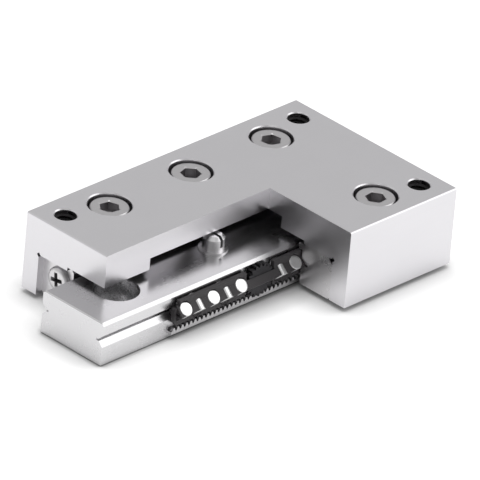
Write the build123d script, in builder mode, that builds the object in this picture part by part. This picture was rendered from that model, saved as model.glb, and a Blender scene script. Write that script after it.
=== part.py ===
from build123d import *
import os
from math import atan, cos, pi, radians, sin, sqrt, tan

# Crossed roller guide, shown as a cutaway sample. Millimetres.
# X is the direction of travel, -Y the cut front side, Z up, Z = 0 the underside of the bed.
# X = 0 is the middle of the whole object as it lies, with the table pushed to the right.

# Overall
table_length = 50.0
table_width = 30.0
overall_height = 12.0
table_shift = 5.0
floor_gap = 0.7
cut_length = 30.0
edge_chamfer = 0.15

# Bed
bed_length = 51.0
bed_height = 6.35
bed_edge_chamfer = 0.4
bed_hole_from_end = 7.75
bed_hole_radius = 1.7
bed_counterbore_radius = 3.0
bed_counterbore_depth = 3.3
hole_mouth_chamfer = 0.15

# Rollers and raceways
roller_diameter = 2.0
roller_length = 1.9
roller_clearance = 0.02
roller_pitch = 2.55
first_roller = 3.75
rollers_each_side = 5
raceway_height = 3.7
running_gap = 1.1
relief_width = 0.3
relief_depth = 0.3

# Cages
cage_half_length = 15.7
cage_thickness = 0.6
cage_above_middle = 1.85
cage_below_middle = 1.6
rib_flat = 0.9
rib_past_pocket = 0.25
pocket_clearance = 0.02
notch_length = 0.9
notch_depth = 0.9
cage_corner = 0.5
cage_end_hole_radius = 0.25
cage_end_hole_inset = 0.6

# Pinions and racks
gear_module = 0.25
pinion_teeth = 18
addendum = 0.2
dedendum = 0.27
pressure_angle = 25.0
tooth_backlash = 0.05
pinion_thickness = 0.8
window_width = 0.9
window_clearance = 0.1
axle_radius = 0.4
axle_length = 1.7
axle_clearance = 0.03
rack_pitches = 34
rack_back_height = 0.4
rack_past_middle = 0.1
rack_seat_depth = 0.5

# Table
leg_thickness = 2.8
rail_seat_height = 6.7
ceiling_height = 7.2
ceiling_past_bed = 1.3
slot_width = 5.1
slot_half_length = 16.8
slot_top = 8.9
corner_relief = 0.5
tap_radius = 1.5
tap_depth = 4.7
tap_from_end = 3.4
tap_from_side = 3.8
table_counterbore_radius = 3.0
table_counterbore_depth = 3.3

# Rails
rail_thickness = 5.5
rail_setback = 1.1
rail_outer_chamfer = 0.8
rail_inner_chamfer_width = 0.6
rail_inner_chamfer_height = 0.8
rail_foot_chamfer = 0.3

# Rail screws, M3 cap
screw_from_end = 10.0
screw_from_side = 5.3
screws_per_rail = 3
screw_radius = 1.5
screw_hole_radius = 1.7
screw_head_radius = 2.7
screw_head_height = 3.0
screw_length = 6.0
screw_socket = 2.5
screw_socket_depth = 1.5
screw_edge = 0.2
tapping_allowance = 0.4

# End screws, M2 with a cross recess
end_screw_radius = 1.0
end_screw_head_radius = 1.75
end_screw_head_height = 0.8
end_screw_length = 4.0
end_screw_height = 4.2
end_screw_from_side = 5.95
cross_span = 2.2
cross_width = 0.45
cross_depth = 0.5

# Stop pin, a slotted screw
pin_radius = 1.5
pin_height = 2.25
pin_collar_radius = 2.0
pin_collar_height = 0.2
pin_shank_radius = 1.0
pin_shank_length = 3.5
pin_chamfer = 0.45
pin_slot_width = 0.45
pin_slot_depth = 1.5

# Places worked out from the sizes above
bed_x = (bed_length / 2 - table_length / 2 - table_shift) / 2
table_x = bed_x + table_shift
cage_x = (bed_x + table_x) / 2
bed_left = bed_x - bed_length / 2
table_left = table_x - table_length / 2
cut_x = table_left + cut_length
leg_inside = table_width / 2 - leg_thickness
rail_side = leg_inside - rail_thickness
bed_side = rail_side - running_gap
ceiling_half_width = bed_side + ceiling_past_bed
race_y = bed_side + running_gap / 2
rail_length = table_length - 2 * rail_setback
rail_left = table_x - rail_length / 2
rail_right = table_x + rail_length / 2
screw_seat = overall_height - table_counterbore_depth
screw_y = table_width / 2 - screw_from_side
tap_y = table_width / 2 - tap_from_side
end_screw_y = table_width / 2 - end_screw_from_side
raceway_apex = roller_diameter / sqrt(2)
screw_columns = [
    table_left + screw_from_end + index * (table_length - 2 * screw_from_end) / (screws_per_rail - 1)
    for index in range(screws_per_rail)
]

# Tooth form: an involute pinion between two straight-sided racks
circular_pitch = gear_module * pi
pitch_radius = gear_module * pinion_teeth / 2
tip_radius = pitch_radius + addendum
root_radius = pitch_radius - dedendum
base_radius = pitch_radius * cos(radians(pressure_angle))
rack_tip = pitch_radius - addendum
rack_root = pitch_radius + dedendum
rack_back = rack_root + rack_back_height
rack_length = rack_pitches * circular_pitch

sides = {"front": -1, "back": 1}

os.makedirs("parts", exist_ok=True)


def save(part, name):
    part.label = name
    export_step(part, f"parts/{name}.step")


def upright(x, y, z):
    """Plane that faces the front, with its x along the travel and its y up."""
    return Plane((x, y, z), x_dir=(1, 0, 0), z_dir=(0, -1, 0))


def raceway_cut(side):
    """Square that the rollers run in, set on its corner, with a grinding relief in each V."""
    with Locations((side * race_y, raceway_height)):
        Rectangle(roller_diameter, roller_diameter, rotation=45, mode=Mode.SUBTRACT)
        Rectangle(2 * (raceway_apex + relief_depth), relief_width, mode=Mode.SUBTRACT)


# Bed: one ground bar with a V raceway in each side
with BuildPart() as bed:
    with BuildSketch(Plane.YZ.offset(bed_left)):
        with BuildLine():
            Polyline(
                (-bed_side, edge_chamfer),
                (edge_chamfer - bed_side, 0),
                (bed_side - edge_chamfer, 0),
                (bed_side, edge_chamfer),
                (bed_side, bed_height - bed_edge_chamfer),
                (bed_side - bed_edge_chamfer, bed_height),
                (bed_edge_chamfer - bed_side, bed_height),
                (-bed_side, bed_height - bed_edge_chamfer),
                close=True,
            )
        make_face()
        for side in sides.values():
            raceway_cut(side)
    extrude(amount=bed_length)
    chamfer(bed.edges().filter_by(Axis.Y).filter_by(lambda edge: edge.length > bed_side), edge_chamfer)
    with Locations(
        (bed_left + bed_hole_from_end, 0, bed_height),
        (bed_left + bed_length - bed_hole_from_end, 0, bed_height),
    ):
        CounterBoreHole(bed_hole_radius, bed_counterbore_radius, bed_counterbore_depth)
    chamfer(bed.faces().sort_by(Axis.Z)[-1].inner_wires().edges(), hole_mouth_chamfer)
    with Locations((bed_x, 0, bed_height)):
        Hole(pin_shank_radius, depth=pin_shank_length)
    # A seat for a rack under each raceway
    rack_seat_height = raceway_height - (rack_tip + rack_back) / 2
    for side in sides.values():
        with Locations((bed_x, side * (bed_side - rack_seat_depth / 2), rack_seat_height)):
            Box(rack_length, rack_seat_depth, rack_back - rack_tip, mode=Mode.SUBTRACT)
save(bed.part, "bed")

# Stop pin: a screw turned in one piece, slotted across its top, with a collar that seats on the bed
with BuildPart() as stop_pin:
    with BuildSketch(upright(bed_x, 0, bed_height)):
        with BuildLine():
            Polyline(
                (0, -pin_shank_length),
                (pin_shank_radius, -pin_shank_length),
                (pin_shank_radius, 0),
                (pin_collar_radius, 0),
                (pin_collar_radius, pin_collar_height),
                (pin_radius, pin_collar_height),
                (pin_radius, pin_height - pin_chamfer),
                (pin_radius - pin_chamfer, pin_height),
                (0, pin_height),
                close=True,
            )
        make_face()
    revolve(axis=Axis((bed_x, 0, 0), (0, 0, 1)))
    with Locations((bed_x, 0, bed_height + pin_height - pin_slot_depth / 2)):
        Box(pin_slot_width, 2 * pin_radius, pin_slot_depth, mode=Mode.SUBTRACT)
save(stop_pin.part, "stop_pin")

# Table: an inverted U with a milled slot for the stop pin, made whole and then cut open
with BuildPart() as table:
    with BuildSketch(Plane.YZ.offset(table_left)):
        with BuildLine():
            Polyline(
                (-table_width / 2, floor_gap),
                (-leg_inside, floor_gap),
                (-leg_inside, rail_seat_height),
                (-ceiling_half_width, rail_seat_height),
                (-ceiling_half_width, ceiling_height),
                (ceiling_half_width, ceiling_height),
                (ceiling_half_width, rail_seat_height),
                (leg_inside, rail_seat_height),
                (leg_inside, floor_gap),
                (table_width / 2, floor_gap),
                (table_width / 2, overall_height),
                (-table_width / 2, overall_height),
                close=True,
            )
        make_face()
    extrude(amount=table_length)
    corner_edges = table.edges().filter_by(Axis.Z).filter_by(lambda edge: edge.length > rail_seat_height)
    top_edges = table.faces().sort_by(Axis.Z)[-1].edges()
    chamfer(corner_edges + top_edges, edge_chamfer)
    # Grinding relief in the corners that the rails are pushed into
    with BuildSketch(Plane.YZ.offset(table_left)):
        with Locations((-leg_inside, rail_seat_height), (leg_inside, rail_seat_height)):
            Rectangle(corner_relief, corner_relief, rotation=45)
    extrude(amount=table_length, mode=Mode.SUBTRACT)
    with BuildSketch(Plane.XY.offset(ceiling_height)):
        with Locations((table_x, 0)):
            SlotOverall(2 * slot_half_length, slot_width)
    extrude(amount=slot_top - ceiling_height, mode=Mode.SUBTRACT)
    for side in sides.values():
        with Locations([(x, side * screw_y, overall_height) for x in screw_columns]):
            CounterBoreHole(screw_hole_radius, table_counterbore_radius, table_counterbore_depth)
    with Locations((table_x, 0, overall_height)):
        with GridLocations(table_length - 2 * tap_from_end, 2 * tap_y, 2, 2):
            Hole(tap_radius, depth=tap_depth)
    chamfer(table.faces().sort_by(Axis.Z)[-1].inner_wires().edges(), hole_mouth_chamfer)
    with Locations((table_left + cut_length / 2, -table_width / 4, overall_height / 2)):
        Box(cut_length, table_width / 2, overall_height, mode=Mode.SUBTRACT)
save(table.part, "table")


def guide_rail(side):
    """Rail along one leg, with its raceway towards the bed, tapped from above and at both ends."""
    with BuildPart() as rail:
        with BuildSketch(Plane.YZ.offset(rail_left)):
            with BuildLine():
                Polyline(
                    (side * rail_side, floor_gap),
                    (side * (leg_inside - rail_foot_chamfer), floor_gap),
                    (side * leg_inside, floor_gap + rail_foot_chamfer),
                    (side * leg_inside, rail_seat_height - rail_outer_chamfer),
                    (side * (leg_inside - rail_outer_chamfer), rail_seat_height),
                    (side * (rail_side + rail_inner_chamfer_width), rail_seat_height),
                    (side * rail_side, rail_seat_height - rail_inner_chamfer_height),
                    close=True,
                )
            make_face()
            raceway_cut(side)
        extrude(amount=rail_length)
        thread_depth = screw_length - (screw_seat - rail_seat_height) + tapping_allowance
        with Locations([(x, side * screw_y, rail_seat_height) for x in screw_columns]):
            Hole(screw_radius, depth=thread_depth)
        for x, direction in ((rail_left, -1), (rail_right, 1)):
            end = Plane((x, side * end_screw_y, end_screw_height), z_dir=(direction, 0, 0))
            with Locations(end):
                Hole(end_screw_radius, depth=end_screw_length)
        seat_from = raceway_height + rack_tip
        seat_y = side * (rail_side + rack_seat_depth / 2)
        with Locations((table_x, seat_y, (seat_from + rail_seat_height) / 2)):
            Box(rack_length, rack_seat_depth, rail_seat_height - seat_from, mode=Mode.SUBTRACT)
        if side < 0:
            split(bisect_by=Plane.YZ.offset(cut_x), keep=Keep.TOP)
    return rail.part


def cap_screw(x, y):
    """Socket head cap screw, head down to its seat in the table and threaded into a rail."""
    seat = Plane((x, y, screw_seat))
    with BuildPart() as screw:
        with BuildSketch(seat):
            Circle(screw_head_radius)
        extrude(amount=screw_head_height)
        chamfer(screw.edges().sort_by(Axis.Z)[-1], screw_edge)
        with BuildSketch(seat.offset(screw_head_height)):
            RegularPolygon(screw_socket / 2, 6, major_radius=False)
        extrude(amount=-screw_socket_depth, mode=Mode.SUBTRACT)
        with BuildSketch(seat):
            Circle(screw_radius)
        extrude(amount=-screw_length)
        chamfer(screw.edges().sort_by(Axis.Z)[0], screw_edge)
    return screw.part


def end_screw(x, y, direction):
    """Low screw in a rail end, whose head keeps the cage from leaving the raceway."""
    seat = Plane((x, y, end_screw_height), z_dir=(direction, 0, 0))
    with BuildPart() as screw:
        with BuildSketch(seat):
            Circle(end_screw_head_radius)
        extrude(amount=end_screw_head_height)
        outer_edge = screw.edges().sort_by(Axis.X)[-1 if direction > 0 else 0]
        chamfer(outer_edge, screw_edge)
        with BuildSketch(seat.offset(end_screw_head_height)):
            Rectangle(cross_span, cross_width)
            Rectangle(cross_width, cross_span)
        extrude(amount=-cross_depth, mode=Mode.SUBTRACT)
        with BuildSketch(seat):
            Circle(end_screw_radius)
        extrude(amount=-end_screw_length)
    return screw.part


for name, side in sides.items():
    save(guide_rail(side), f"rail_{name}")
for index, x in enumerate(screw_columns):
    save(cap_screw(x, screw_y), f"rail_screw_back_{index + 1}")
save(cap_screw(screw_columns[-1], -screw_y), "rail_screw_front")
save(end_screw(rail_left, end_screw_y, -1), "end_screw_back_left")
save(end_screw(rail_right, end_screw_y, 1), "end_screw_back_right")
save(end_screw(rail_right, -end_screw_y, 1), "end_screw_front_right")


def rack_bar(side, on_bed):
    """Toothed strip seated in the bed, teeth up, or in a rail, teeth down.

    A space between two teeth lies over the pinion's axis at rest, because the pinion
    has a tooth straight up and another straight down.
    """
    up = 1 if on_bed else -1
    centre_x = bed_x if on_bed else table_x
    near = race_y - up * (running_gap / 2 + rack_seat_depth)
    far = race_y + up * rack_past_middle
    pitch_half = circular_pitch / 4 - tooth_backlash / 2
    tip_half = pitch_half - addendum * tan(radians(pressure_angle))
    root_half = pitch_half + dedendum * tan(radians(pressure_angle))
    with BuildSketch() as tooth:
        with BuildLine():
            Polyline(
                (-root_half, -up * (rack_root + rack_back) / 2),
                (root_half, -up * (rack_root + rack_back) / 2),
                (root_half, -up * rack_root),
                (tip_half, -up * rack_tip),
                (-tip_half, -up * rack_tip),
                (-root_half, -up * rack_root),
                close=True,
            )
        make_face()
    first_space = cage_x - centre_x
    places = [first_space + (step + 0.5) * circular_pitch for step in range(-rack_pitches, rack_pitches)]
    with BuildPart() as rack:
        with BuildSketch(upright(centre_x, side * (near + far) / 2, raceway_height)):
            with Locations((0, -up * (rack_root + rack_back) / 2)):
                Rectangle(rack_length, rack_back - rack_root)
            with Locations([(x, 0) for x in places if abs(x) + root_half < rack_length / 2]):
                add(tooth.sketch)
        extrude(amount=abs(far - near) / 2, both=True)
        if side < 0 and not on_bed:
            split(bisect_by=Plane.YZ.offset(cut_x), keep=Keep.TOP)
    return rack.part


for name, side in sides.items():
    save(rack_bar(side, True), f"rack_lower_{name}")
    save(rack_bar(side, False), f"rack_upper_{name}")


def tooth_point(radius, flank):
    """Point on a flank of the pinion tooth that points along X, at a radius; flank is 1 or -1."""
    involute_start = tan(radians(pressure_angle)) - radians(pressure_angle)
    unrolled = sqrt(max((radius / base_radius) ** 2 - 1, 0))
    half_angle = pi / (2 * pinion_teeth) + involute_start - (unrolled - atan(unrolled))
    return (radius * cos(half_angle), flank * radius * sin(half_angle))


def pinion(side):
    """Pinion in the window of a cage, with one tooth straight up and one straight down."""
    with BuildSketch() as tooth:
        with BuildLine():
            lower = [tooth_point(radius, -1) for radius in (base_radius, pitch_radius, tip_radius)]
            upper = [tooth_point(radius, 1) for radius in (tip_radius, pitch_radius, base_radius)]
            inner = [(root_radius / 2, upper[-1][1]), (root_radius / 2, lower[0][1])]
            Polyline(lower + upper + inner, close=True)
        make_face()
    with BuildPart() as wheel:
        with BuildSketch(upright(cage_x, side * race_y, raceway_height)):
            Circle(root_radius)
            with PolarLocations(0, pinion_teeth, start_angle=90):
                add(tooth.sketch)
            Circle(axle_radius + axle_clearance, mode=Mode.SUBTRACT)
        extrude(amount=pinion_thickness / 2, both=True)
    return wheel.part


def pinion_axle(side):
    """Pin that the pinion turns on, held at both ends in the rib of the cage."""
    with BuildPart() as axle:
        with BuildSketch(upright(cage_x, side * race_y, raceway_height)):
            Circle(axle_radius)
        extrude(amount=axle_length / 2, both=True)
    return axle.part


# Rollers lie at 45 degrees, each at right angles to the next
roller_columns = [
    cage_x + hand * (first_roller + step * roller_pitch)
    for hand in (-1, 1)
    for step in range(rollers_each_side)
]
roller_columns.sort()


def roller_plane(side, index):
    """Plane at the middle of a roller whose z is the roller's axis: outwards and up, or inwards and up."""
    lean = side if index % 2 == 0 else -side
    return Plane((roller_columns[index], side * race_y, raceway_height), z_dir=(0, lean, 1))


def roller(side, index):
    with BuildPart() as drum:
        with BuildSketch(roller_plane(side, index)):
            Circle(roller_diameter / 2 - roller_clearance)
        extrude(amount=roller_length / 2, both=True)
    return drum.part


def cage(side):
    """Moulded strip with a pocket for each roller, ribs between the pockets and a pinion window."""
    cage_left = cage_x - cage_half_length
    rib_half_length = roller_columns[-1] - cage_x + roller_diameter / 2 + rib_past_pocket
    cage_height = cage_above_middle + cage_below_middle
    with BuildPart() as strip:
        with BuildSketch(upright(cage_x, side * race_y, raceway_height)):
            with Locations((0, (cage_above_middle - cage_below_middle) / 2)):
                outline = Rectangle(2 * cage_half_length, cage_height)
            chamfer(outline.vertices().group_by(Axis.Y)[0], cage_corner)
            for hand in (-1, 1):
                with Locations((hand * cage_half_length, cage_above_middle)):
                    Rectangle(2 * notch_length, 2 * notch_depth, mode=Mode.SUBTRACT)
        extrude(amount=cage_thickness / 2, both=True)
        with BuildSketch(Plane.YZ.offset(cage_x)):
            with Locations((side * race_y, raceway_height)):
                Rectangle(2 * rib_flat, 2 * rib_flat, rotation=45)
        extrude(amount=rib_half_length, both=True)
        for index in range(len(roller_columns)):
            with BuildSketch(roller_plane(side, index)):
                Circle(roller_diameter / 2 + pocket_clearance)
            extrude(amount=2 * cage_above_middle, both=True, mode=Mode.SUBTRACT)
        with Locations((cage_x, side * race_y, raceway_height)):
            Box(
                2 * (tip_radius + window_clearance),
                window_width,
                2 * cage_above_middle,
                mode=Mode.SUBTRACT,
            )
        with BuildSketch(upright(cage_x, side * race_y, raceway_height)):
            Circle(axle_radius)
            for hand in (-1, 1):
                with Locations((hand * (cage_half_length - cage_end_hole_inset), 0)):
                    Circle(cage_end_hole_radius)
        extrude(amount=axle_length / 2, both=True, mode=Mode.SUBTRACT)
    return strip.part


for name, side in sides.items():
    save(cage(side), f"cage_{name}")
    save(pinion(side), f"pinion_{name}")
    save(pinion_axle(side), f"pinion_axle_{name}")
    for index in range(len(roller_columns)):
        save(roller(side, index), f"roller_{name}_{index + 1}")
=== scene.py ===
from math import cos, pi, radians, sin

import bmesh
import bpy
from mathutils import Matrix, Quaternion, Vector


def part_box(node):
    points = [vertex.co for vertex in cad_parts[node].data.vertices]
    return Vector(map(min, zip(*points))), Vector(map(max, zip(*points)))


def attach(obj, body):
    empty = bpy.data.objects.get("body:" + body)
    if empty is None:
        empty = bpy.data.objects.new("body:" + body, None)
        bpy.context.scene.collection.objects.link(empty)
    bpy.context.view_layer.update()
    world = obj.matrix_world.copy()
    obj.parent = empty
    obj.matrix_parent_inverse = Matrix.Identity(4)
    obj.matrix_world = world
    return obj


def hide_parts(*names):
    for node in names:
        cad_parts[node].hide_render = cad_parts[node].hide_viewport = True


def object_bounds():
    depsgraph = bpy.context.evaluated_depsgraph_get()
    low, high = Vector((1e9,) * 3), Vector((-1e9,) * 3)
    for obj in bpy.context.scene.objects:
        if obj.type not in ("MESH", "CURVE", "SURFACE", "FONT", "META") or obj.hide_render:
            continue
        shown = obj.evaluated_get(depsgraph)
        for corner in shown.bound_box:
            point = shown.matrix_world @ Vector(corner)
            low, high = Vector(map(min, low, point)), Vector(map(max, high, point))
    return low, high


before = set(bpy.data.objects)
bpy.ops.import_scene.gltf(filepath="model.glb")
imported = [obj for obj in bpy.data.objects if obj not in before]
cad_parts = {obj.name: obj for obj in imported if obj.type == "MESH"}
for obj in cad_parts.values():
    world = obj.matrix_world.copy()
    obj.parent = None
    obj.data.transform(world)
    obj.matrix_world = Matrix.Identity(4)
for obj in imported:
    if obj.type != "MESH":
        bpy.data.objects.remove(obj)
cad_box = [list(corner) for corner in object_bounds()]
MM = 0.001


# Bed
# The narrow bar that is screwed down and stays still. It is hardened steel, ground all over
# along its length, with a V raceway and a thin relief groove in each side.
def new_group(name, inputs, outputs):
    """An empty shader node group with these sockets, and its input and output nodes."""
    group = bpy.data.node_groups.new(name, "ShaderNodeTree")
    for label, kind, value in inputs:
        socket = group.interface.new_socket(name=label, in_out="INPUT", socket_type=kind)
        socket.default_value = value
    for label, kind in outputs:
        group.interface.new_socket(name=label, in_out="OUTPUT", socket_type=kind)
    return group, group.nodes.new("NodeGroupInput"), group.nodes.new("NodeGroupOutput")


def math_node(tree, operation, *values):
    """A Math node with its inputs set to numbers or linked to sockets."""
    node = tree.nodes.new("ShaderNodeMath")
    node.operation = operation
    for socket, value in zip(node.inputs, values):
        if isinstance(value, bpy.types.NodeSocket):
            tree.links.new(value, socket)
        else:
            socket.default_value = value
    return node.outputs["Value"]


def noise_node(tree, place, scale, detail):
    """Noise of this many grains per metre at the given place, from 0 to 1."""
    noise = tree.nodes.new("ShaderNodeTexNoise")
    noise.inputs["Detail"].default_value = detail
    tree.links.new(place, noise.inputs["Vector"])
    if isinstance(scale, bpy.types.NodeSocket):
        tree.links.new(scale, noise.inputs["Scale"])
    else:
        noise.inputs["Scale"].default_value = scale
    return noise.outputs["Fac"]


def handling_group():
    """Uneven oil film and wiped smudges on what is picked up, as a shade and a gloss shift."""
    film_scale, smudge_scale = 0.16 / MM, 0.25 / MM
    film_shade, film_gloss, smudge_gloss = 0.04, 0.06, 0.15
    group, given, made = new_group(
        "handling",
        [("Amount", "NodeSocketFloat", 1.0)],
        [("Shade", "NodeSocketFloat"), ("Roughness shift", "NodeSocketFloat")],
    )
    place = group.nodes.new("ShaderNodeTexCoord").outputs["Object"]
    film = math_node(group, "SUBTRACT", noise_node(group, place, film_scale, 3.0), 0.5)
    smudge = noise_node(group, place, smudge_scale, 2.0)
    smudge = math_node(group, "MAXIMUM", math_node(group, "SUBTRACT", smudge, 0.5), 0.0)
    shade = math_node(group, "MULTIPLY", film, film_shade)
    shade = math_node(group, "MULTIPLY", shade, given.outputs["Amount"])
    shift = math_node(group, "MULTIPLY", film, film_gloss)
    shift = math_node(group, "MULTIPLY_ADD", smudge, smudge_gloss, shift)
    shift = math_node(group, "MULTIPLY", shift, given.outputs["Amount"])
    group.links.new(math_node(group, "ADD", shade, 1.0), made.inputs["Shade"])
    group.links.new(shift, made.inputs["Roughness shift"])
    return group


def ground_finish_group(handling):
    """Fine lines that a grinding wheel leaves along X, under the film of handling."""
    squeeze_along_x, line_gloss = 0.03, 0.05
    group, given, made = new_group(
        "ground_finish",
        [
            ("Steel", "NodeSocketColor", (0.7, 0.7, 0.7, 1)),
            ("Roughness", "NodeSocketFloat", 0.2),
            ("Line contrast", "NodeSocketFloat", 0.1),
            ("Lines per metre", "NodeSocketFloat", 4.0 / MM),
        ],
        [
            ("Color", "NodeSocketColor"),
            ("Roughness", "NodeSocketFloat"),
            ("Height", "NodeSocketFloat"),
        ],
    )
    stretch = group.nodes.new("ShaderNodeVectorMath")
    stretch.operation = "MULTIPLY"
    stretch.inputs[1].default_value = (squeeze_along_x, 1, 1)
    group.links.new(group.nodes.new("ShaderNodeTexCoord").outputs["Object"], stretch.inputs[0])
    lines_per_metre = given.outputs["Lines per metre"]
    lines = noise_node(group, stretch.outputs["Vector"], lines_per_metre, 4.0)
    line_value = math_node(group, "SUBTRACT", lines, 0.5)
    worn = group.nodes.new("ShaderNodeGroup")
    worn.node_tree = handling
    shade = math_node(group, "MULTIPLY_ADD", line_value, given.outputs["Line contrast"], 1.0)
    shade = math_node(group, "MULTIPLY", shade, worn.outputs["Shade"])
    tint = group.nodes.new("ShaderNodeVectorMath")
    tint.operation = "SCALE"
    group.links.new(given.outputs["Steel"], tint.inputs[0])
    group.links.new(shade, tint.inputs["Scale"])
    rough = math_node(group, "MULTIPLY_ADD", line_value, line_gloss, given.outputs["Roughness"])
    rough = math_node(group, "ADD", rough, worn.outputs["Roughness shift"])
    group.links.new(tint.outputs["Vector"], made.inputs["Color"])
    group.links.new(rough, made.inputs["Roughness"])
    group.links.new(lines, made.inputs["Height"])
    return group


handling = handling_group()
ground_finish = ground_finish_group(handling)


def ground_steel(name, steel, roughness, line_contrast):
    """Ground hardened steel."""
    lines_per_mm = 4.0
    line_depth = 0.00005 * MM
    material = bpy.data.materials.new(name)
    material.use_nodes = True
    tree = material.node_tree
    surface = tree.nodes["Principled BSDF"]
    surface.inputs["Metallic"].default_value = 1.0
    finish = tree.nodes.new("ShaderNodeGroup")
    finish.node_tree = ground_finish
    finish.inputs["Steel"].default_value = (*steel, 1)
    finish.inputs["Roughness"].default_value = roughness
    finish.inputs["Line contrast"].default_value = line_contrast
    finish.inputs["Lines per metre"].default_value = lines_per_mm / MM
    bump = tree.nodes.new("ShaderNodeBump")
    bump.inputs["Distance"].default_value = line_depth
    tree.links.new(finish.outputs["Color"], surface.inputs["Base Color"])
    tree.links.new(finish.outputs["Roughness"], surface.inputs["Roughness"])
    tree.links.new(finish.outputs["Height"], bump.inputs["Height"])
    tree.links.new(bump.outputs["Normal"], surface.inputs["Normal"])
    return material


def dress(node, material):
    """Gives a CAD node its material."""
    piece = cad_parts[node]
    piece.data.materials.clear()
    piece.data.materials.append(material)
    return piece


bed_steel = ground_steel("bed_steel", (0.675, 0.67, 0.68), 0.26, 0.025)
dress("bed", bed_steel)

# Stop pin
# A turned steel screw with a slotted head and a thin collar that seats on the bed. It stands in
# the slot under the table and ends the travel.
pin_steel = ground_steel("pin_steel", (0.82, 0.81, 0.82), 0.28, 0.04)
dress("stop_pin", pin_steel)
for side in ("front", "back"):
    dress(f"pinion_axle_{side}", pin_steel)

# Racks
# Toothed steel strips seated in the bed and in the rails, above and below the cages.
rack_steel = ground_steel("rack_steel", (0.60, 0.59, 0.60), 0.28, 0.10)
for side in ("front", "back"):
    for level in ("lower", "upper"):
        dress(f"rack_{level}_{side}", rack_steel)

# Table
# The sliding upper block, an inverted U ground on every outer face, with M3 threads cut in its
# three corner holes. The front left quarter is cut away to show the inside.
table_steel = ground_steel("table_steel", (0.715, 0.705, 0.725), 0.30, 0.025)
dress("table", table_steel)
# Near-black steel for the tap threads in the table, which paints the shade inside the holes.
thread_shade_steel = ground_steel("thread_shade_steel", (0.03, 0.029, 0.03), 0.50, 0.05)
tap_places = ((-18.85, 11.2), (24.35, 11.2), (24.35, -11.2))
tap_wall = 1.5 * MM
tap_crest = 1.24 * MM
tap_low = 7.5 * MM
tap_high = 11.55 * MM
tap_pitch = 0.5 * MM


def screw_thread(shape, wall, crest, pitch, low, high, steps=36):
    """Adds a helical V ridge round Z to a bmesh, from the wall's radius to the crest's."""
    half_base, half_tip = 0.46 * pitch, 0.06 * pitch
    last = None
    count = int((high - low) / pitch * steps)
    for step in range(count + 1):
        turn = 2 * pi * step / steps
        middle = low + pitch * step / steps
        run_in = min(1.0, 4 * step / steps, 4 * (count - step) / steps)
        tip = wall + (crest - wall) * max(run_in, 0.02)
        here = [
            shape.verts.new((radius * cos(turn), radius * sin(turn), height))
            for radius, height in (
                (wall, middle - half_base),
                (tip, middle - half_tip),
                (tip, middle + half_tip),
                (wall, middle + half_base),
            )
        ]
        if last:
            for near, far in ((0, 1), (1, 2), (2, 3)):
                shape.faces.new((last[near], here[near], here[far], last[far]))
        last = here


def piece_from(shape, name, place, material, body, sharp=30):
    """Makes a bmesh into a finished piece that rides on a body."""
    bmesh.ops.recalc_face_normals(shape, faces=shape.faces)
    mesh = bpy.data.meshes.new(name)
    shape.to_mesh(mesh)
    shape.free()
    mesh.transform(place)
    mesh.shade_smooth()
    mesh.set_sharp_from_angle(angle=radians(sharp))
    mesh.materials.append(material)
    piece = bpy.data.objects.new(name, mesh)
    bpy.context.scene.collection.objects.link(piece)
    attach(piece, body)
    return piece


for number, (x, y) in enumerate(tap_places):
    threads = bmesh.new()
    screw_thread(threads, tap_wall, tap_crest, tap_pitch, tap_low, tap_high)
    at = Matrix.Translation((x * MM, y * MM, 0))
    piece_from(threads, f"tap_thread_{number + 1}", at, thread_shade_steel, "table", 50)

# Rails
# Separate hardened rails screwed against the table's legs, with the outer raceways.
rail_steel = ground_steel("rail_steel", (0.69, 0.68, 0.69), 0.28, 0.04)
for side in ("front", "back"):
    dress(f"rail_{side}", rail_steel)

# Rail screws
# M3 socket head cap screws, cold formed with a knurled head, sunk in the table's counterbores
# and threaded into the rails.
screw_steel = ground_steel("screw_steel", (0.58, 0.57, 0.58), 0.30, 0.06)
# Darker steel for the inside of the hex socket, which paints the shade in the recess.
recess_shade_steel = ground_steel("recess_shade_steel", (0.44, 0.43, 0.44), 0.34, 0.08)
cap_head = 2.7 * MM
cap_height = 3.0 * MM
cap_shank = 6.0 * MM
cap_socket = 1.25 * MM
cap_thread = 1.5 * MM
cap_root = 1.22 * MM
cap_pitch = 0.5 * MM
cap_nodes = ("rail_screw_back_1", "rail_screw_back_2", "rail_screw_back_3", "rail_screw_front")


def rings_body(rings, sides):
    """A closed bmesh through rings of (height, radius), where a radius may follow the angle."""
    shape = bmesh.new()
    loops = []
    for height, radius in rings:
        loop = []
        for index in range(sides):
            turn = 2 * pi * index / sides
            r = radius(turn) if callable(radius) else radius
            loop.append(shape.verts.new((r * cos(turn), r * sin(turn), height)))
        loops.append(loop)
    for lower, upper in zip(loops, loops[1:]):
        for index in range(sides):
            after = (index + 1) % sides
            shape.faces.new((lower[index], lower[after], upper[after], upper[index]))
    for loop, height in ((loops[0], rings[0][0]), (loops[-1], rings[-1][0])):
        middle = shape.verts.new((0, 0, height))
        for index in range(sides):
            shape.faces.new((loop[index], loop[(index + 1) % sides], middle))
    return shape


def paint_recess_shade(shape, reach, top, bottom):
    """Gives the faces of a driver's recess the second material, a darker steel that paints the
    shade in the recess.
    """
    for face in shape.faces:
        middle = face.calc_center_median()
        if middle.xy.length < reach and bottom < middle.z < top:
            face.material_index = 1


def hexagon(turn):
    """Radius of the socket's hexagon at this angle."""
    return cap_socket / cos((turn + pi / 6) % (pi / 3) - pi / 6)


def knurled(turn):
    """Radius of the head's side, with 48 fine straight teeth."""
    return cap_head - (0.06 * MM if round(turn / (2 * pi) * 96) % 2 else 0)


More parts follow.
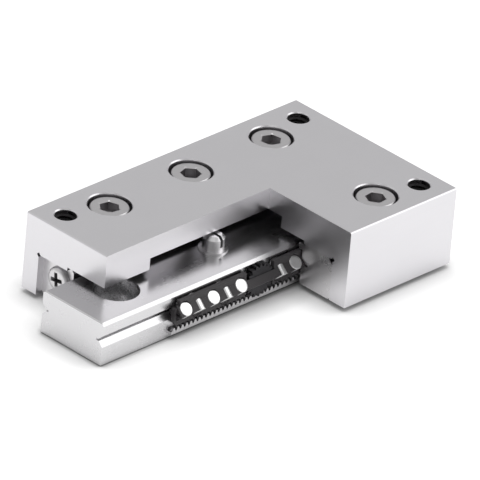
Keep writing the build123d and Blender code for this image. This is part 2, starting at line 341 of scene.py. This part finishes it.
cap_rings = (
    (-cap_shank, 1.0 * MM),
    (-cap_shank + 0.2 * MM, cap_root),
    (-0.25 * MM, cap_root),
    (0, cap_thread),
    (0, cap_head - 0.15 * MM),
    (0.08 * MM, cap_head - 0.06 * MM),
    (0.25 * MM, knurled),
    (cap_height - 0.45 * MM, knurled),
    (cap_height - 0.32 * MM, cap_head - 0.03 * MM),
    (cap_height - 0.14 * MM, cap_head - 0.08 * MM),
    (cap_height - 0.03 * MM, cap_head - 0.20 * MM),
    (cap_height, cap_head - 0.34 * MM),
    (cap_height, 1.62 * MM),
    (cap_height - 0.14 * MM, hexagon),
    (cap_height - 1.5 * MM, hexagon),
    (cap_height - 1.55 * MM, 1.1 * MM),
    (cap_height - 1.95 * MM, 0.1 * MM),
)
for number, node in enumerate(cap_nodes):
    low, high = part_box(node)
    screw = rings_body(cap_rings, 96)
    paint_recess_shade(screw, cap_socket * 1.2, cap_height - 0.1 * MM, cap_height - 2 * MM)
    screw_thread(screw, cap_root, cap_thread, cap_pitch, -cap_shank + 0.3 * MM, -0.5 * MM)
    under_head = high[2] - cap_height
    seat = Matrix.Translation(((low[0] + high[0]) / 2, (low[1] + high[1]) / 2, under_head))
    seat = seat @ Matrix.Rotation(radians(20 + 25 * number), 4, "Z")
    piece = piece_from(screw, f"cap_{node}", seat, screw_steel, "table")
    piece.data.materials.append(recess_shade_steel)
    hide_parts(node)

# End screws
# M2 pan head screws with a pressed cross recess, in the rail ends. Their heads keep the cages
# from leaving the raceways.
end_screw_steel = ground_steel("end_screw_steel", (0.68, 0.67, 0.68), 0.36, 0.06)
# Near-black steel for the cross recess, which paints the shade in the recess.
cross_shade_steel = ground_steel("cross_shade_steel", (0.15, 0.145, 0.15), 0.45, 0.06)
pan_head = 1.75 * MM
pan_height = 0.8 * MM
pan_shank = 4.0 * MM
pan_thread = 1.0 * MM
pan_root = 0.79 * MM
pan_pitch = 0.4 * MM
pan_nodes = (
    ("end_screw_back_left", -1),
    ("end_screw_back_right", 1),
    ("end_screw_front_right", 1),
)


def cross(arm, half_width):
    """Radius, by angle, of a cross with these arms."""

    def radius(turn):
        c, s = max(abs(cos(turn)), 1e-6), max(abs(sin(turn)), 1e-6)
        return max(min(arm / c, half_width / s), min(half_width / c, arm / s))

    return radius


pan_rings = (
    (-pan_shank, 0.6 * MM),
    (-pan_shank + 0.2 * MM, pan_root),
    (-0.2 * MM, pan_root),
    (0, pan_thread),
    (0, pan_head - 0.06 * MM),
    (0.08 * MM, pan_head),
    (pan_height - 0.40 * MM, pan_head - 0.02 * MM),
    (pan_height - 0.20 * MM, pan_head - 0.14 * MM),
    (pan_height - 0.08 * MM, pan_head - 0.34 * MM),
    (pan_height - 0.01 * MM, pan_head - 0.58 * MM),
    (pan_height, cross(1.08 * MM, 0.30 * MM)),
    (pan_height - 0.08 * MM, cross(1.00 * MM, 0.24 * MM)),
    (pan_height - 0.70 * MM, cross(0.45 * MM, 0.14 * MM)),
)
for number, (node, way) in enumerate(pan_nodes):
    low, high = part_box(node)
    screw = rings_body(pan_rings, 96)
    paint_recess_shade(screw, 1.0 * MM, pan_height - 0.02 * MM, pan_height - 0.8 * MM)
    screw_thread(screw, pan_root, pan_thread, pan_pitch, -pan_shank + 0.3 * MM, -0.4 * MM)
    seat_x = low[0] + pan_height if way < 0 else high[0] - pan_height
    seat = Matrix.Translation((seat_x, (low[1] + high[1]) / 2, (low[2] + high[2]) / 2))
    lie_down = Matrix.Rotation(way * pi / 2, 4, "Y")
    seat = seat @ lie_down @ Matrix.Rotation(radians(8 + 31 * number), 4, "Z")
    piece = piece_from(screw, f"pan_{node}", seat, end_screw_steel, "table")
    piece.data.materials.append(cross_shade_steel)
    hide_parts(node)


# Cages
# Moulded black plastic strips that hold the rollers apart, with the fine sparked texture of the
# mould on their faces.
def moulded_plastic(name, colour, roughness):
    """Glass filled plastic with a fine mould texture and the film of handling."""
    grain_scale, grain_contrast, grain_depth = 9.0 / MM, 0.35, 0.004 * MM
    handled = 1.6
    material = bpy.data.materials.new(name)
    material.use_nodes = True
    tree = material.node_tree
    surface = tree.nodes["Principled BSDF"]
    surface.inputs["Specular IOR Level"].default_value = 0.35
    place = tree.nodes.new("ShaderNodeTexCoord").outputs["Object"]
    grain = noise_node(tree, place, grain_scale, 3.0)
    worn = tree.nodes.new("ShaderNodeGroup")
    worn.node_tree = handling
    worn.inputs["Amount"].default_value = handled
    shade = math_node(tree, "SUBTRACT", grain, 0.5)
    shade = math_node(tree, "MULTIPLY_ADD", shade, grain_contrast, worn.outputs["Shade"])
    tint = tree.nodes.new("ShaderNodeVectorMath")
    tint.operation = "SCALE"
    tint.inputs[0].default_value = colour
    tree.links.new(shade, tint.inputs["Scale"])
    rough = math_node(tree, "ADD", worn.outputs["Roughness shift"], roughness)
    bump = tree.nodes.new("ShaderNodeBump")
    bump.inputs["Distance"].default_value = grain_depth
    tree.links.new(tint.outputs["Vector"], surface.inputs["Base Color"])
    tree.links.new(rough, surface.inputs["Roughness"])
    tree.links.new(grain, bump.inputs["Height"])
    tree.links.new(bump.outputs["Normal"], surface.inputs["Normal"])
    return material


cage_plastic = moulded_plastic("cage_plastic", (0.055, 0.051, 0.054), 0.50)
for side in ("front", "back"):
    dress(f"cage_{side}", cage_plastic)

# Pinions
# Small steel gears in the cage windows, in mesh with both racks.
pinion_steel = ground_steel("pinion_steel", (0.05, 0.049, 0.052), 0.42, 0.10)
for side in ("front", "back"):
    dress(f"pinion_{side}", pinion_steel)

# Rollers
# Hardened steel rollers, ground and lapped, each lying at right angles to the next. Their edges
# are rounded and their ends have a shallow dimple.
roller_steel = ground_steel("roller_steel", (0.90, 0.90, 0.90), 0.30, 0.03)
roller_radius = 0.98 * MM
roller_half = 0.95 * MM
roller_edge = 0.10 * MM
roller_edge_steps = 4
roller_profile = [
    (roller_half - 0.02 * MM, 0.30 * MM),
    (roller_half, 0.42 * MM),
    (roller_half, roller_radius - roller_edge),
]
for step in range(1, roller_edge_steps + 1):
    bend = pi / 2 * step / roller_edge_steps
    height = roller_half - roller_edge * (1 - cos(bend))
    roller_profile.append((height, roller_radius - roller_edge * (1 - sin(bend))))
roller_rings = [(-height, radius) for height, radius in roller_profile]
roller_rings += [(height, radius) for height, radius in reversed(roller_profile)]
for side, outwards in (("front", -1), ("back", 1)):
    for number in range(1, 11):
        node = f"roller_{side}_{number}"
        low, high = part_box(node)
        lean = outwards if number % 2 else -outwards
        across = Vector((0, lean, 1)).to_track_quat("Z", "X").to_matrix().to_4x4()
        middle = Matrix.Translation([(a + b) / 2 for a, b in zip(low, high)])
        roller = rings_body(roller_rings, 48)
        seat = middle @ across
        piece = piece_from(roller, f"lapped_{node}", seat, roller_steel, node)
        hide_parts(node)

# Floor
# A plain pale sweep of board under the object, glowing evenly for camera and glossy rays.
# Near the steel, ambient occlusion darkens its glow and colour: a painted shadow and dark
# contact line.
floor_size = 4.0
floor_below = 0.02 * MM
floor_glow = 0.52
shadow_reach, shadow_power = 4.5 * MM, 1.6
contact_reach, floor_tone = 0.9 * MM, 0.92
floor_mesh = bmesh.new()
bmesh.ops.create_grid(floor_mesh, x_segments=1, y_segments=1, size=floor_size / 2)
floor_data = bpy.data.meshes.new("floor")
floor_mesh.to_mesh(floor_data)
floor_mesh.free()
floor = bpy.data.objects.new("floor", floor_data)
bpy.context.scene.collection.objects.link(floor)
floor.location.z = cad_box[0][2] - floor_below
floor_paint = bpy.data.materials.new("floor_paint")
floor_paint.use_nodes = True
floor_tree = floor_paint.node_tree
floor_surface = floor_tree.nodes["Principled BSDF"]
floor_surface.inputs["Roughness"].default_value = 0.8
floor_surface.inputs["Specular IOR Level"].default_value = 0.0
floor_surface.inputs["Emission Color"].default_value = (1, 1, 1, 1)
floor_rays = floor_tree.nodes.new("ShaderNodeLightPath")
seen = floor_rays.outputs["Is Camera Ray"]
for kind in ("Is Glossy Ray", "Is Transmission Ray"):
    seen = math_node(floor_tree, "ADD", seen, floor_rays.outputs[kind])
# Ambient occlusion darkens the floor's glow and colour close to the steel: painted shadow and
# contact line.
painted_shadow_nearness = floor_tree.nodes.new("ShaderNodeAmbientOcclusion")
painted_shadow_nearness.samples = 16
painted_shadow_nearness.inputs["Distance"].default_value = shadow_reach
painted_contact_shade = floor_tree.nodes.new("ShaderNodeAmbientOcclusion")
painted_contact_shade.samples = 16
painted_contact_shade.inputs["Distance"].default_value = contact_reach
painted_contact_shade.inputs["Color"].default_value = (floor_tone, floor_tone, floor_tone, 1)
shadow = math_node(floor_tree, "POWER", painted_shadow_nearness.outputs["AO"], shadow_power)
glow = math_node(floor_tree, "MULTIPLY", seen, floor_glow)
glow = math_node(floor_tree, "MULTIPLY", glow, shadow)
glow = math_node(floor_tree, "MULTIPLY", glow, painted_contact_shade.outputs["AO"])
floor_tree.links.new(painted_contact_shade.outputs["Color"], floor_surface.inputs["Base Color"])
floor_tree.links.new(glow, floor_surface.inputs["Emission Strength"])
floor_data.materials.append(floor_paint)

# Studio light
# A pale room that darkens behind the camera, with three large softboxes.
room_light = 0.65
room_behind_camera = 0.27
darkest_towards = (-0.649, -0.581, 0.491)
dark_from, dark_to = 0.55, 0.95
world = bpy.data.worlds.new("studio")
bpy.context.scene.world = world
world.use_nodes = True
world_tree = world.node_tree
background = world_tree.nodes["Background"]
background.inputs["Strength"].default_value = 1.0
direction = world_tree.nodes.new("ShaderNodeTexCoord")
facing = world_tree.nodes.new("ShaderNodeVectorMath")
facing.operation = "DOT_PRODUCT"
facing.inputs[1].default_value = darkest_towards
world_tree.links.new(direction.outputs["Generated"], facing.inputs[0])
shade_range = world_tree.nodes.new("ShaderNodeMapRange")
shade_range.interpolation_type = "SMOOTHSTEP"
shade_range.inputs["From Min"].default_value = dark_from
shade_range.inputs["From Max"].default_value = dark_to
shade_range.inputs["To Min"].default_value = room_light
shade_range.inputs["To Max"].default_value = room_behind_camera
world_tree.links.new(facing.outputs["Value"], shade_range.inputs["Value"])
world_tree.links.new(shade_range.outputs["Result"], background.inputs["Color"])


def way_to(azimuth, elevation):
    """Unit vector from the object, with azimuths in degrees from the front, to the right."""
    a, e = radians(azimuth), radians(elevation)
    return Vector((sin(a) * cos(e), -cos(a) * cos(e), sin(e)))


def softbox(name, azimuth, elevation, distance, width, height, power):
    """A large rectangular lamp that faces the object."""
    lamp = bpy.data.lights.new(name, "AREA")
    lamp.shape = "RECTANGLE"
    lamp.size = width
    lamp.size_y = height
    lamp.energy = power
    box = bpy.data.objects.new(name, lamp)
    bpy.context.scene.collection.objects.link(box)
    away = way_to(azimuth, elevation)
    box.location = away * distance
    box.rotation_mode = "QUATERNION"
    box.rotation_quaternion = away.to_track_quat("Z", "Y")
    return box


softbox("key_softbox", 50, 36, 0.6, 0.45, 0.35, 0.55)
softbox("left_softbox", -140, 42, 0.6, 0.35, 0.35, 0.04)
softbox("top_softbox", -60, 80, 0.6, 0.3, 0.3, 0.35)

# Camera
# A long lens at the photograph's viewing angle, level with its slight roll.
view_azimuth = -47.59
view_elevation = 29.31
view_roll = 5.235
view_distance = 1.571
view_right = 1.917 * MM
view_up = 0.893 * MM
middle_height = 6 * MM
camera_data = bpy.data.cameras.new("camera")
camera_data.sensor_width = 36.0
camera_data.lens = 900.0
camera_data.clip_start = 0.5
camera_data.clip_end = 20.0
camera = bpy.data.objects.new("camera", camera_data)
bpy.context.scene.collection.objects.link(camera)
towards_camera = way_to(view_azimuth, view_elevation)
level = towards_camera.to_track_quat("Z", "Y")
aim = Vector((0, 0, middle_height)) + level @ Vector((view_right, view_up, 0))
camera.location = aim + towards_camera * view_distance
camera.rotation_mode = "QUATERNION"
camera.rotation_quaternion = level @ Quaternion((0, 0, 1), radians(view_roll))
bpy.context.scene.camera = camera
bpy.context.scene.view_settings.view_transform = "Standard"
